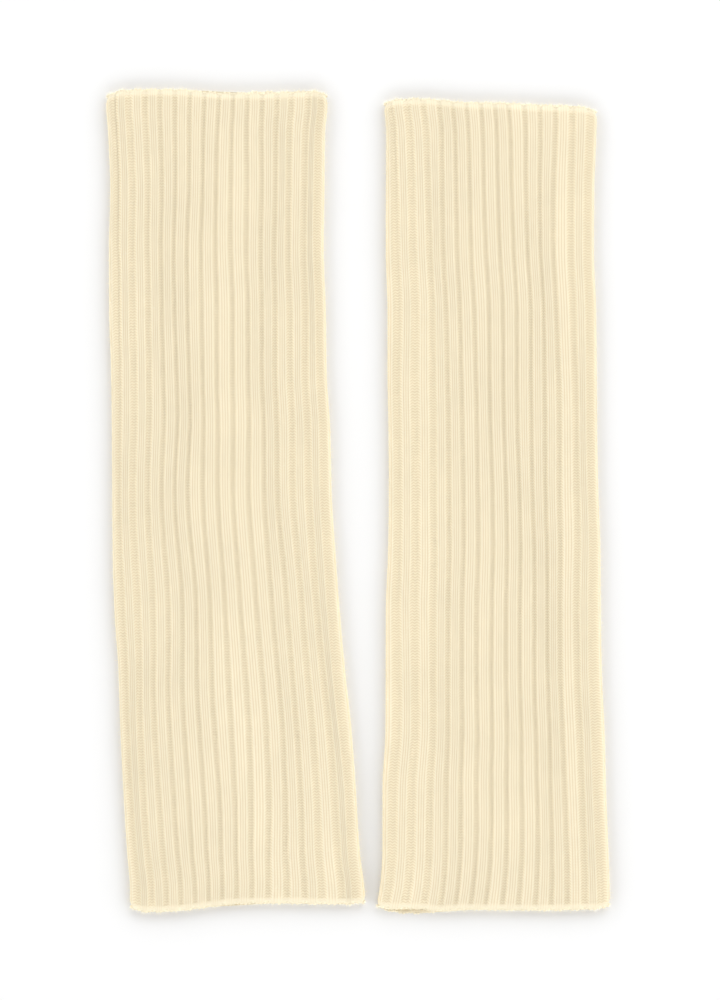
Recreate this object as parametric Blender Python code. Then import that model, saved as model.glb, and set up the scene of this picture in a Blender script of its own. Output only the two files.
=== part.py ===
# A pair of rib-knit leg warmers, laid flat side by side.
# Each one is a seamless knitted tube pressed flat: a plain underside that rests on the surface,
# a thin slot inside, and a top panel whose knit ribs stand up between sunken purl valleys.
# Metres, +Z up. +Y runs up the length of the pair, +X across it.
# The origin is the bottom centre of the pair's bounding box.

import math

import bmesh
import bpy
from mathutils import Vector

MM = 0.001

# Thicknesses of the pressed tube, bottom to top
UNDER_WALL = 2.4 * MM
SLOT_GAP = 0.5 * MM
VALLEY_WALL = 1.7 * MM
RIB_HEIGHT = 1.2 * MM
RIB_SHOULDER_DROP = 0.25 * MM

# The rounded side folds
FOLD_REACH = 1.6 * MM
FOLD_WALL = 2.6 * MM
FOLD_STEPS = 5

# One rib repeat, in shares of the distance from one valley to the next
FLOOR_HALF = 0.12
SHOULDER_HALF = 0.22
CREST_AT = 0.50

# The cast-on and bind-off bands, where the ribs fade out and the edge rounds over
BAND_ROWS = (0.0, 1.2 * MM, 3.0 * MM, 9.0 * MM)
BAND_RIB_SHARE = (0.25, 0.35, 0.80, 1.0)
BAND_EDGE_DROP = 0.7 * MM
BODY_ROWS = 22

UNDER_POINTS = 10
INNER_POINTS = 14

SHARP_ANGLE = math.radians(50)
YARN_COLOUR = (0.885, 0.791, 0.572, 1.0)
YARN_ROUGHNESS = 0.95

# Outline of each leg warmer, in millimetres: distance up from the pair's centre,
# then the left and the right fold at that height.
OUTLINE_COLUMNS = ("up", "left", "right")
LEFT_OUTLINE = (
    (212.4, -130.2, -15.8),
    (204.0, -130.2, -15.8),
    (190.0, -129.2, -17.0),
    (160.0, -128.1, -17.3),
    (130.0, -128.8, -17.7),
    (98.0, -128.7, -16.6),
    (67.0, -127.7, -16.2),
    (37.0, -127.3, -14.3),
    (6.0, -127.1, -13.6),
    (-25.0, -126.9, -11.7),
    (-56.0, -126.0, -9.4),
    (-87.0, -123.9, -6.6),
    (-118.0, -122.9, -3.3),
    (-148.0, -121.4, -1.1),
    (-180.0, -119.5, 0.9),
    (-200.0, -118.0, 3.5),
    (-212.4, -118.0, 4.3),
)
RIGHT_OUTLINE = (
    (212.4, 12.6, 123.2),
    (203.0, 13.2, 123.2),
    (190.0, 14.3, 122.9),
    (160.0, 14.1, 121.8),
    (130.0, 14.0, 121.6),
    (98.0, 14.9, 122.8),
    (67.0, 14.9, 123.1),
    (37.0, 15.4, 123.3),
    (6.0, 15.6, 123.9),
    (-25.0, 15.2, 125.0),
    (-56.0, 14.0, 125.2),
    (-87.0, 13.9, 125.7),
    (-118.0, 13.8, 127.1),
    (-148.0, 12.3, 127.9),
    (-180.0, 12.3, 129.1),
    (-196.0, 11.3, 129.7),
    (-212.4, 8.4, 130.2),
)

# Where the ends lie, in millimetres up from the pair's centre, against the share of the width
# from the left fold: the top end of the front panel and of the panel under it, then the bottom ends.
END_COLUMNS = ("across", "top_front", "top_under", "bottom_front", "bottom_under")
LEFT_ENDS = (
    (0.00, 208.6, 208.6, -208.6, -208.6),
    (0.03, 210.6, 210.2, -210.4, -209.8),
    (0.08, 211.9, 211.4, -211.3, -210.6),
    (0.20, 212.4, 211.8, -210.7, -210.0),
    (0.35, 212.2, 211.6, -208.4, -208.0),
    (0.45, 211.0, 211.0, -207.2, -207.0),
    (0.57, 210.4, 210.8, -206.8, -206.8),
    (0.70, 210.4, 211.5, -206.8, -206.9),
    (0.82, 211.0, 211.4, -207.2, -206.8),
    (0.93, 211.4, 211.0, -207.2, -206.6),
    (0.98, 210.6, 210.2, -206.9, -206.4),
    (1.00, 208.6, 208.6, -206.2, -206.0),
)
RIGHT_ENDS = (
    (0.00, 204.8, 204.8, -208.0, -208.0),
    (0.03, 206.4, 206.0, -209.2, -210.0),
    (0.08, 207.2, 206.6, -209.6, -211.6),
    (0.16, 207.6, 207.0, -209.6, -212.4),
    (0.27, 206.8, 206.4, -210.6, -211.4),
    (0.38, 205.6, 205.4, -210.0, -209.8),
    (0.55, 205.4, 205.0, -210.2, -209.8),
    (0.72, 204.4, 204.2, -210.4, -209.8),
    (0.86, 203.9, 203.6, -210.0, -209.6),
    (0.94, 203.2, 202.8, -209.8, -209.4),
    (0.98, 202.0, 201.8, -209.0, -208.8),
    (1.00, 200.4, 200.4, -207.2, -207.2),
)

# Where the purl valleys run, as shares of the width from the left fold at nine places down the leg.
# Whole numbers count the valleys from the left; the first and last rows are the folds themselves,
# which fall on a rib.
VALLEY_DOWN = (0.0, 0.13, 0.25, 0.38, 0.50, 0.62, 0.75, 0.87, 1.0)
VALLEY_COLUMNS = ("valley",) + VALLEY_DOWN
LEFT_VALLEYS = (
    (0.45, 0.000, 0.000, 0.000, 0.000, 0.000, 0.000, 0.000, 0.000, 0.000),
    (1.0, 0.038, 0.035, 0.042, 0.035, 0.030, 0.035, 0.030, 0.030, 0.035),
    (2.0, 0.103, 0.107, 0.111, 0.107, 0.095, 0.106, 0.090, 0.087, 0.096),
    (3.0, 0.177, 0.177, 0.183, 0.176, 0.163, 0.174, 0.150, 0.153, 0.157),
    (4.0, 0.244, 0.242, 0.244, 0.242, 0.226, 0.242, 0.214, 0.216, 0.219),
    (5.0, 0.313, 0.304, 0.302, 0.305, 0.285, 0.304, 0.277, 0.280, 0.278),
    (6.0, 0.380, 0.367, 0.362, 0.362, 0.344, 0.365, 0.342, 0.346, 0.335),
    (7.0, 0.446, 0.430, 0.427, 0.423, 0.413, 0.427, 0.407, 0.412, 0.391),
    (8.0, 0.511, 0.493, 0.497, 0.488, 0.481, 0.492, 0.481, 0.478, 0.452),
    (9.0, 0.575, 0.562, 0.570, 0.560, 0.550, 0.560, 0.558, 0.547, 0.516),
    (10.0, 0.638, 0.637, 0.640, 0.632, 0.621, 0.631, 0.632, 0.624, 0.584),
    (11.0, 0.705, 0.706, 0.704, 0.697, 0.692, 0.700, 0.702, 0.694, 0.665),
    (12.0, 0.772, 0.770, 0.766, 0.757, 0.752, 0.766, 0.763, 0.760, 0.741),
    (13.0, 0.837, 0.832, 0.833, 0.828, 0.821, 0.832, 0.831, 0.829, 0.814),
    (14.0, 0.914, 0.905, 0.905, 0.897, 0.894, 0.897, 0.901, 0.905, 0.901),
    (15.0, 0.969, 0.963, 0.967, 0.967, 0.963, 0.961, 0.957, 0.966, 0.956),
    (15.50, 1.000, 1.000, 1.000, 1.000, 1.000, 1.000, 1.000, 1.000, 1.000),
)
RIGHT_VALLEYS = (
    (0.40, 0.000, 0.000, 0.000, 0.000, 0.000, 0.000, 0.000, 0.000, 0.000),
    (1.0, 0.030, 0.046, 0.052, 0.045, 0.046, 0.050, 0.056, 0.048, 0.040),
    (2.0, 0.108, 0.127, 0.134, 0.130, 0.129, 0.134, 0.139, 0.131, 0.122),
    (3.0, 0.183, 0.205, 0.215, 0.216, 0.213, 0.220, 0.220, 0.212, 0.202),
    (4.0, 0.259, 0.271, 0.280, 0.288, 0.286, 0.290, 0.286, 0.283, 0.273),
    (5.0, 0.321, 0.338, 0.346, 0.353, 0.355, 0.354, 0.350, 0.349, 0.336),
    (6.0, 0.385, 0.404, 0.414, 0.423, 0.424, 0.422, 0.419, 0.419, 0.401),
    (7.0, 0.453, 0.472, 0.486, 0.487, 0.494, 0.492, 0.486, 0.485, 0.464),
    (8.0, 0.519, 0.539, 0.552, 0.552, 0.559, 0.558, 0.554, 0.553, 0.537),
    (9.0, 0.582, 0.605, 0.618, 0.616, 0.622, 0.622, 0.618, 0.621, 0.605),
    (10.0, 0.657, 0.673, 0.685, 0.683, 0.684, 0.690, 0.684, 0.690, 0.678),
    (11.0, 0.730, 0.738, 0.746, 0.748, 0.745, 0.749, 0.747, 0.750, 0.745),
    (12.0, 0.803, 0.801, 0.806, 0.817, 0.811, 0.808, 0.805, 0.813, 0.814),
    (13.0, 0.882, 0.887, 0.888, 0.896, 0.894, 0.885, 0.884, 0.890, 0.890),
    (14.0, 0.966, 0.966, 0.965, 0.964, 0.964, 0.958, 0.955, 0.957, 0.962),
    (14.45, 1.000, 1.000, 1.000, 1.000, 1.000, 1.000, 1.000, 1.000, 1.000),
)

LEG_WARMERS = (
    {"name": "left_leg_warmer", "outline": LEFT_OUTLINE, "ends": LEFT_ENDS, "valleys": LEFT_VALLEYS},
    {"name": "right_leg_warmer", "outline": RIGHT_OUTLINE, "ends": RIGHT_ENDS, "valleys": RIGHT_VALLEYS},
)

TOP_OF_SLOT = UNDER_WALL + SLOT_GAP
VALLEY_LEVEL = TOP_OF_SLOT + VALLEY_WALL


def column(table, names, wanted):
    """One column of a table, as a list."""
    place = names.index(wanted)
    return [row[place] for row in table]


def smooth_between(keys, values, at):
    """A smooth curve through the table's values that never overshoots them."""
    if keys[0] > keys[-1]:
        keys, values = keys[::-1], values[::-1]
    at = min(max(at, keys[0]), keys[-1])
    span = 0
    while span < len(keys) - 2 and at > keys[span + 1]:
        span += 1

    def secant(index):
        return (values[index + 1] - values[index]) / (keys[index + 1] - keys[index])

    def slope(index):
        if index in (0, len(keys) - 1):
            return secant(min(index, len(keys) - 2))
        before, after = secant(index - 1), secant(index)
        if before * after <= 0:
            return 0.0
        return 2 * before * after / (before + after)

    width = keys[span + 1] - keys[span]
    part = (at - keys[span]) / width
    rise = part * part * (3 - 2 * part)
    lead = part * (1 - part) * (1 - part) * width
    trail = part * part * (part - 1) * width
    eased = values[span] * (1 - rise) + values[span + 1] * rise
    return eased + lead * slope(span) + trail * slope(span + 1)


def fold_at(leg, side, up):
    """Distance from the pair's centre line to one fold, at a height up the leg."""
    ups = column(leg["outline"], OUTLINE_COLUMNS, "up")
    return MM * smooth_between(ups, column(leg["outline"], OUTLINE_COLUMNS, side), up / MM)


def end_at(leg, end, panel, across):
    """How far up an end of one panel lies, at a share across the width."""
    shares = column(leg["ends"], END_COLUMNS, "across")
    return MM * smooth_between(shares, column(leg["ends"], END_COLUMNS, end + "_" + panel), across)


def share_at(leg, valley, down):
    """Share across the width where a valley number lies, at a share down the leg."""
    numbers = column(leg["valleys"], VALLEY_COLUMNS, "valley")
    places = [
        smooth_between(numbers, column(leg["valleys"], VALLEY_COLUMNS, place), valley)
        for place in VALLEY_DOWN
    ]
    return smooth_between(VALLEY_DOWN, places, down)


def on_panel(leg, panel, across, down, inset, level):
    """A point of a panel: its share across and down, its inset from the nearer fold, its level."""
    top = end_at(leg, "top", panel, across)
    bottom = end_at(leg, "bottom", panel, across)
    up = top + (bottom - top) * down
    left = fold_at(leg, "left", up) + inset
    right = fold_at(leg, "right", up) - inset
    return Vector((left + (right - left) * across, up, level))


def rib_stations(leg):
    """Valley numbers and heights of the top panel's points, from the left fold to the right one."""
    numbers = column(leg["valleys"], VALLEY_COLUMNS, "valley")
    shoulder = 1 - RIB_SHOULDER_DROP / RIB_HEIGHT
    stations = []
    for valley in range(1, int(numbers[-1]) + 1):
        stations += [
            (valley - SHOULDER_HALF, shoulder),
            (valley - FLOOR_HALF, 0.0),
            (valley + FLOOR_HALF, 0.0),
            (valley + SHOULDER_HALF, shoulder),
            (valley + CREST_AT, 1.0),
        ]
    return stations[:-1]


def down_shares(leg):
    """Shares down the leg of the rings, with each ring's rib height and edge drop."""
    length = end_at(leg, "top", "front", 0.5) - end_at(leg, "bottom", "front", 0.5)
    band = [row / length for row in BAND_ROWS]
    rings = []
    for place, relief in zip(band, BAND_RIB_SHARE):
        rings.append((place, relief, BAND_EDGE_DROP if place == 0 else 0.0))
    inside = 1 - 2 * band[-1]
    for step in range(1, BODY_ROWS):
        rings.append((band[-1] + inside * step / BODY_ROWS, 1.0, 0.0))
    for place, relief in zip(reversed(band), reversed(BAND_RIB_SHARE)):
        rings.append((1 - place, relief, BAND_EDGE_DROP if place == 0 else 0.0))
    return rings


def outer_ring(leg, down, relief, drop):
    """Round the outside of the tube, as pairs of place and point: ribbed top, right fold,
    flat underside, left fold. The place grows by one over each of the four."""
    crest = VALLEY_LEVEL + RIB_HEIGHT * relief - drop
    ring = []
    for valley, height in rib_stations(leg):
        across = share_at(leg, valley, down)
        level = VALLEY_LEVEL + RIB_HEIGHT * relief * height - drop
        ring.append((across, on_panel(leg, "front", across, down, 0.0, level)))
    right_fold = fold_points(leg, down, crest, 1.0)
    ring += [(1 + turn, point) for turn, point in right_fold]
    for step in range(UNDER_POINTS):
        share = (step + 0.5) / UNDER_POINTS
        ring.append((2 + share, on_panel(leg, "under", 1 - share, down, FOLD_REACH, 0.0)))
    left_fold = fold_points(leg, down, crest, 0.0)
    ring += [(4 - turn, point) for turn, point in reversed(left_fold)]
    return ring


def fold_points(leg, down, crest, across):
    """Half an ellipse round a side fold, from the top panel to the underside."""
    points = []
    for step in range(FOLD_STEPS + 1):
        share = step / FOLD_STEPS
        turn = math.pi * share
        level = crest / 2 * (1 + math.cos(turn))
        inset = FOLD_REACH * (1 - math.sin(turn))
        panel = "front" if share < 0.5 else "under"
        points.append((share, on_panel(leg, panel, across, down, inset, level)))
    return points


def inner_ring(leg, down):
    """Round the plain slot inside the tube, with places that match the outer ring's."""
    ring = []
    for step in range(INNER_POINTS + 1):
        share = step / INNER_POINTS
        ring.append((share, on_panel(leg, "front", share, down, FOLD_WALL, TOP_OF_SLOT)))
    for step in range(INNER_POINTS + 1):
        share = step / INNER_POINTS
        ring.append((2 + share, on_panel(leg, "under", 1 - share, down, FOLD_WALL, UNDER_WALL)))
    return ring


def skin(bm, rings):
    """A quad strip between each ring of points and the next."""
    for first, second in zip(rings, rings[1:]):
        for index in range(len(first)):
            following = (index + 1) % len(first)
            bm.faces.new((first[index], first[following], second[following], second[index]))


def rim(bm, outer_places, outer, inner_places, inner):
    """Triangles across the cut end of the wall, always on to whichever ring's point comes next."""
    outer_places = outer_places + [outer_places[0] + 4]
    inner_places = inner_places + [inner_places[0] + 4]
    at, beside = 0, 0
    while at < len(outer) or beside < len(inner):
        here, there = outer[at % len(outer)], inner[beside % len(inner)]
        along_outer = beside == len(inner)
        if at < len(outer) and beside < len(inner):
            along_outer = outer_places[at + 1] <= inner_places[beside + 1]
        if along_outer:
            at += 1
            bm.faces.new((here, outer[at % len(outer)], there))
        else:
            beside += 1
            bm.faces.new((here, inner[beside % len(inner)], there))


def yarn_material():
    material = bpy.data.materials.new("cream_rib_knit")
    material.use_nodes = True
    shader = material.node_tree.nodes["Principled BSDF"]
    shader.inputs["Base Color"].default_value = YARN_COLOUR
    shader.inputs["Roughness"].default_value = YARN_ROUGHNESS
    shader.inputs["Metallic"].default_value = 0.0
    return material


def leg_warmer(leg):
    """The flattened tube: an outer skin, an inner skin, and a rim that joins them at each end."""
    bm = bmesh.new()
    rings = down_shares(leg)
    outer_rings = [outer_ring(leg, *ring) for ring in rings]
    inner_rings = [inner_ring(leg, ring[0]) for ring in rings]
    outer = [[bm.verts.new(point) for _, point in ring] for ring in outer_rings]
    inner = [[bm.verts.new(point) for _, point in ring] for ring in inner_rings]
    skin(bm, outer)
    skin(bm, inner)
    for end in (0, -1):
        outer_places = [place for place, _ in outer_rings[end]]
        inner_places = [place for place, _ in inner_rings[end]]
        rim(bm, outer_places, outer[end], inner_places, inner[end])
    bmesh.ops.recalc_face_normals(bm, faces=bm.faces)
    mesh = bpy.data.meshes.new(leg["name"])
    bm.to_mesh(mesh)
    bm.free()
    mesh.shade_smooth()
    mesh.set_sharp_from_angle(angle=SHARP_ANGLE)
    return bpy.data.objects.new(leg["name"], mesh)


def centre_on_origin(objects):
    """Moves the meshes together so that their bounding box stands on the origin."""
    points = [vert.co for obj in objects for vert in obj.data.vertices]
    middle = [(min(p[i] for p in points) + max(p[i] for p in points)) / 2 for i in (0, 1)]
    shift = Vector((-middle[0], -middle[1], 0.0))
    for obj in objects:
        for vert in obj.data.vertices:
            vert.co += shift


def main():
    for obj in list(bpy.data.objects):
        bpy.data.objects.remove(obj, do_unlink=True)
    pair = []
    for leg in LEG_WARMERS:
        obj = leg_warmer(leg)
        obj.data.materials.append(yarn_material())
        bpy.context.scene.collection.objects.link(obj)
        pair.append(obj)
    centre_on_origin(pair)


main()
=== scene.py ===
import math

import bpy
import numpy as np
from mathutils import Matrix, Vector


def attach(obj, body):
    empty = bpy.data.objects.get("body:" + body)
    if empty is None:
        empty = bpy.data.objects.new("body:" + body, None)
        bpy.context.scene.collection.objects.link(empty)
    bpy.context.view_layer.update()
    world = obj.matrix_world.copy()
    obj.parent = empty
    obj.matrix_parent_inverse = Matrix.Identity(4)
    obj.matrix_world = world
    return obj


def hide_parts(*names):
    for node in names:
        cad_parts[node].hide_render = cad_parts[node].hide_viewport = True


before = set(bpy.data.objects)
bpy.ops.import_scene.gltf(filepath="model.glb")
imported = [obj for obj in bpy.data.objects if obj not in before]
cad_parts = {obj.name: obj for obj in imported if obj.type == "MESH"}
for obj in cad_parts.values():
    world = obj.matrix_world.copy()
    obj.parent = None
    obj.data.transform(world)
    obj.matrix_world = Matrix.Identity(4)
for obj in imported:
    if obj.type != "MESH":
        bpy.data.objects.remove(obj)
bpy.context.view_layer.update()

# Two rib-knit leg warmers, laid flat. Each tube is knitted stitch by stitch as real relief:
# its front is one wall, its side folds and underside another, and a chain edge closes each end.
# Metres, +Y up the length, +X across, +Z up. Tables are in millimetres, from the pair's centre.
mm = 0.001

# up: height along the pair; left, right: where the two folds lie
outlineColumns = ("up", "left", "right")
leftOutline = (
    (212.4, -130.2, -15.8),
    (204.0, -130.2, -15.8),
    (190.0, -129.2, -17.0),
    (160.0, -128.1, -17.3),
    (130.0, -128.8, -17.7),
    (98.0, -128.7, -16.6),
    (67.0, -127.7, -16.2),
    (37.0, -127.3, -14.3),
    (6.0, -127.1, -13.6),
    (-25.0, -126.9, -11.7),
    (-56.0, -126.0, -9.4),
    (-87.0, -123.9, -6.6),
    (-118.0, -122.9, -3.3),
    (-148.0, -121.4, -1.1),
    (-180.0, -119.5, 0.9),
    (-200.0, -118.0, 3.5),
    (-212.4, -118.0, 4.3),
)
rightOutline = (
    (212.4, 12.6, 123.2),
    (203.0, 13.2, 123.2),
    (190.0, 14.3, 122.9),
    (160.0, 14.1, 121.8),
    (130.0, 14.0, 121.6),
    (98.0, 14.9, 122.8),
    (67.0, 14.9, 123.1),
    (37.0, 15.4, 123.3),
    (6.0, 15.6, 123.9),
    (-25.0, 15.2, 125.0),
    (-56.0, 14.0, 125.2),
    (-87.0, 13.9, 125.7),
    (-118.0, 13.8, 127.1),
    (-148.0, 12.3, 127.9),
    (-180.0, 12.3, 129.1),
    (-196.0, 11.3, 129.7),
    (-212.4, 8.4, 130.2),
)

# across: share of the width from the left fold; then where each end of each layer lies
endColumns = ("across", "topFront", "topUnder", "bottomFront", "bottomUnder")
leftEnds = (
    (0.00, 208.6, 208.6, -208.6, -208.6),
    (0.03, 210.6, 210.2, -210.4, -209.8),
    (0.08, 211.9, 211.4, -211.3, -210.6),
    (0.20, 212.4, 211.8, -210.7, -210.0),
    (0.35, 212.2, 211.6, -208.4, -208.0),
    (0.45, 211.0, 211.0, -207.2, -207.0),
    (0.57, 210.4, 210.8, -206.8, -206.8),
    (0.70, 210.4, 211.5, -206.8, -206.9),
    (0.82, 211.0, 211.4, -207.2, -206.8),
    (0.93, 211.4, 211.0, -207.2, -206.6),
    (0.98, 210.6, 210.2, -206.9, -206.4),
    (1.00, 208.6, 208.6, -206.2, -206.0),
)
rightEnds = (
    (0.00, 204.8, 204.8, -208.0, -208.0),
    (0.03, 206.4, 206.0, -209.2, -210.0),
    (0.08, 207.2, 206.6, -209.6, -211.6),
    (0.16, 207.6, 207.0, -209.6, -212.4),
    (0.27, 206.8, 206.4, -210.6, -211.4),
    (0.38, 205.6, 205.4, -210.0, -209.8),
    (0.55, 205.4, 205.0, -210.2, -209.8),
    (0.72, 204.4, 204.2, -210.4, -209.8),
    (0.86, 203.9, 203.6, -210.0, -209.6),
    (0.94, 203.2, 202.8, -209.8, -209.4),
    (0.98, 202.0, 201.8, -209.0, -208.8),
    (1.00, 200.4, 200.4, -207.2, -207.2),
)

# valley: the purl valley's number from the left, with the folds in the first and last rows;
# gape: how wide it opens, in rib repeats; then its share of the width at nine places down the leg
downPlaces = (0.0, 0.13, 0.25, 0.38, 0.50, 0.62, 0.75, 0.87, 1.0)
valleyColumns = ("valley", "gape") + downPlaces
leftValleys = (
    (0.45, 0.50, 0.000, 0.000, 0.000, 0.000, 0.000, 0.000, 0.000, 0.000, 0.000),
    (1.0, 0.50, 0.038, 0.035, 0.042, 0.035, 0.030, 0.035, 0.030, 0.030, 0.035),
    (2.0, 0.48, 0.103, 0.107, 0.111, 0.107, 0.095, 0.106, 0.090, 0.087, 0.096),
    (3.0, 0.43, 0.177, 0.177, 0.183, 0.176, 0.163, 0.174, 0.150, 0.153, 0.157),
    (4.0, 0.40, 0.244, 0.242, 0.244, 0.242, 0.226, 0.242, 0.214, 0.216, 0.219),
    (5.0, 0.38, 0.313, 0.304, 0.302, 0.305, 0.285, 0.304, 0.277, 0.280, 0.278),
    (6.0, 0.37, 0.380, 0.367, 0.362, 0.362, 0.344, 0.365, 0.342, 0.346, 0.335),
    (7.0, 0.37, 0.446, 0.430, 0.427, 0.423, 0.413, 0.427, 0.407, 0.412, 0.391),
    (8.0, 0.37, 0.511, 0.493, 0.497, 0.488, 0.481, 0.492, 0.481, 0.478, 0.452),
    (9.0, 0.37, 0.575, 0.562, 0.570, 0.560, 0.550, 0.560, 0.558, 0.547, 0.516),
    (10.0, 0.38, 0.638, 0.637, 0.640, 0.632, 0.621, 0.631, 0.632, 0.624, 0.584),
    (11.0, 0.39, 0.705, 0.706, 0.704, 0.697, 0.692, 0.700, 0.702, 0.694, 0.665),
    (12.0, 0.41, 0.772, 0.770, 0.766, 0.757, 0.752, 0.766, 0.763, 0.760, 0.741),
    (13.0, 0.44, 0.837, 0.832, 0.833, 0.828, 0.821, 0.832, 0.831, 0.829, 0.814),
    (14.0, 0.48, 0.914, 0.905, 0.905, 0.897, 0.894, 0.897, 0.901, 0.905, 0.901),
    (15.0, 0.50, 0.969, 0.963, 0.967, 0.967, 0.963, 0.961, 0.957, 0.966, 0.956),
    (15.50, 0.50, 1.000, 1.000, 1.000, 1.000, 1.000, 1.000, 1.000, 1.000, 1.000),
)
rightValleys = (
    (0.40, 0.50, 0.000, 0.000, 0.000, 0.000, 0.000, 0.000, 0.000, 0.000, 0.000),
    (1.0, 0.50, 0.030, 0.046, 0.052, 0.045, 0.046, 0.050, 0.056, 0.048, 0.040),
    (2.0, 0.48, 0.108, 0.127, 0.134, 0.130, 0.129, 0.134, 0.139, 0.131, 0.122),
    (3.0, 0.44, 0.183, 0.205, 0.215, 0.216, 0.213, 0.220, 0.220, 0.212, 0.202),
    (4.0, 0.40, 0.259, 0.271, 0.280, 0.288, 0.286, 0.290, 0.286, 0.283, 0.273),
    (5.0, 0.38, 0.321, 0.338, 0.346, 0.353, 0.355, 0.354, 0.350, 0.349, 0.336),
    (6.0, 0.37, 0.385, 0.404, 0.414, 0.423, 0.424, 0.422, 0.419, 0.419, 0.401),
    (7.0, 0.36, 0.453, 0.472, 0.486, 0.487, 0.494, 0.492, 0.486, 0.485, 0.464),
    (8.0, 0.36, 0.519, 0.539, 0.552, 0.552, 0.559, 0.558, 0.554, 0.553, 0.537),
    (9.0, 0.36, 0.582, 0.605, 0.618, 0.616, 0.622, 0.622, 0.618, 0.621, 0.605),
    (10.0, 0.36, 0.657, 0.673, 0.685, 0.683, 0.684, 0.690, 0.684, 0.690, 0.678),
    (11.0, 0.37, 0.730, 0.738, 0.746, 0.748, 0.745, 0.749, 0.747, 0.750, 0.745),
    (12.0, 0.38, 0.803, 0.801, 0.806, 0.817, 0.811, 0.808, 0.805, 0.813, 0.814),
    (13.0, 0.43, 0.882, 0.887, 0.888, 0.896, 0.894, 0.885, 0.884, 0.890, 0.890),
    (14.0, 0.48, 0.966, 0.966, 0.965, 0.964, 0.964, 0.958, 0.955, 0.957, 0.962),
    (14.45, 0.50, 1.000, 1.000, 1.000, 1.000, 1.000, 1.000, 1.000, 1.000, 1.000),
)

# Soft swells of the front layer: share across, share down, reach across and down, height
swellColumns = ("across", "down", "reachAcross", "reachDown", "height")
swellCalm = {"foldMargin": 0.06, "foldFade": 0.12, "endFade": 0.05}
leftSwells = (
    (0.30, 0.12, 0.22, 0.10, 0.25),
    (0.66, 0.27, 0.16, 0.14, -0.30),
    (0.22, 0.46, 0.12, 0.16, 0.35),
    (0.72, 0.58, 0.20, 0.12, 0.40),
    (0.35, 0.74, 0.18, 0.11, -0.30),
    (0.60, 0.90, 0.24, 0.07, 0.30),
)
rightSwells = (
    (0.40, 0.08, 0.25, 0.08, 0.30),
    (0.70, 0.33, 0.15, 0.16, 0.35),
    (0.28, 0.42, 0.14, 0.12, -0.25),
    (0.62, 0.62, 0.12, 0.20, -0.30),
    (0.34, 0.80, 0.18, 0.12, 0.35),
)

legWarmers = (
    {"side": "left", "outline": leftOutline, "ends": leftEnds,
     "valleys": leftValleys, "swells": leftSwells},
    {"side": "right", "outline": rightOutline, "ends": rightEnds,
     "valleys": rightValleys, "swells": rightSwells},
)

knit = {
    "ribsRound": 30,
    "walesPerRib": 4,
    "courses": 284,
    "lengthMetres": 0.42,
    "underWall": 2.4 * mm,
    "slotGap": 0.5 * mm,
    "valleyWall": 1.7 * mm,
    "ribHeight": 0.6 * mm,
    "wallFoot": 0.8,
    "wallHead": 1.35,
    "stitchDepth": 0.42 * mm,
    "purlDepth": 0.56 * mm,
    "grooveLift": -0.35,
    "bridgeLift": 0.6,
    "scallop": 0.55 * mm,
    "scallopFade": 1.2,
    "waleWidth": 2.3 * mm,
    "legSlant": 0.5,
    "purlSlant": -0.5,
    "edgeDrop": 0.5 * mm,
    "unevenness": 0.16 * mm,
    "sway": 0.16 * mm,
}
# The plain band along each end, in courses from the end: where ribs, stitches and colour change
endBand = {
    "ribFrom": 1.1,
    "ribTo": 2.5,
    "ribShare": 0.3,
    "stitchFrom": 1.2,
    "stitchTo": 2.4,
    "stitchShare": 0.5,
    "toneFrom": 1.2,
    "toneTo": 2.2,
    "dropReach": 1.6,
}
walesRound = float(knit["ribsRound"] * knit["walesPerRib"])
# Levels of the smooth tube that the ribs stand on; a rib's crest reaches the floor and the fold's edge
slotTop = knit["underWall"] + knit["slotGap"]
bareTop = slotTop + knit["valleyWall"]
bareBottom = knit["ribHeight"] + 0.5 * knit["stitchDepth"]
foldRadius = (bareTop - bareBottom) / 2


def column(table, names, wanted):
    place = names.index(wanted)
    return np.array([row[place] for row in table], float)


def easeThrough(keys, values, at):
    # a smooth curve through a table's values that never overshoots them
    keys, values, at = np.asarray(keys, float), np.asarray(values, float), np.asarray(at, float)
    if keys[0] > keys[-1]:
        keys, values = keys[::-1], values[::-1]
    steps = np.diff(keys).reshape((-1,) + (1,) * (values.ndim - 1))
    secants = np.diff(values, axis=0) / steps
    before, after = secants[:-1], secants[1:]
    same = before * after > 0
    slopes = np.zeros_like(values)
    slopes[1:-1][same] = (2 * before * after)[same] / (before + after)[same]
    slopes[0], slopes[-1] = secants[0], secants[-1]
    at = np.clip(at, keys[0], keys[-1])
    span = np.clip(np.searchsorted(keys, at) - 1, 0, len(keys) - 2)
    width = keys[span + 1] - keys[span]
    part = (at - keys[span]) / width
    extra = (1,) * (values.ndim - 1)
    part, width = part.reshape(part.shape + extra), width.reshape(width.shape + extra)
    rise = part * part * (3 - 2 * part)
    lead = part * (1 - part) ** 2 * width
    trail = part * part * (part - 1) * width
    ends = values[span] * (1 - rise) + values[span + 1] * rise
    return ends + lead * slopes[span] + trail * slopes[span + 1]


def foldAt(leg, side, up):
    keys = column(leg["outline"], outlineColumns, "up")
    return mm * easeThrough(keys, column(leg["outline"], outlineColumns, side), up / mm)


def endAt(leg, end, layer, across):
    keys = column(leg["ends"], endColumns, "across")
    return mm * easeThrough(keys, column(leg["ends"], endColumns, end + layer), across)


def valleyCount(leg):
    return int(leg["valleys"][-1][0])


def lastValleyWale(leg):
    return float(knit["walesPerRib"] * (valleyCount(leg) - 1))


def foldTips(leg):
    # the wales that lie on the right fold and on the left fold
    rightTip = knit["walesPerRib"] * (leg["valleys"][-1][0] - 1)
    leftTip = walesRound + knit["walesPerRib"] * (leg["valleys"][0][0] - 1)
    return rightTip, leftTip


def awayFromValley(wale):
    # wales from the nearest valley's centre
    half = knit["walesPerRib"] / 2
    return np.abs((wale + half) % knit["walesPerRib"] - half)


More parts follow.
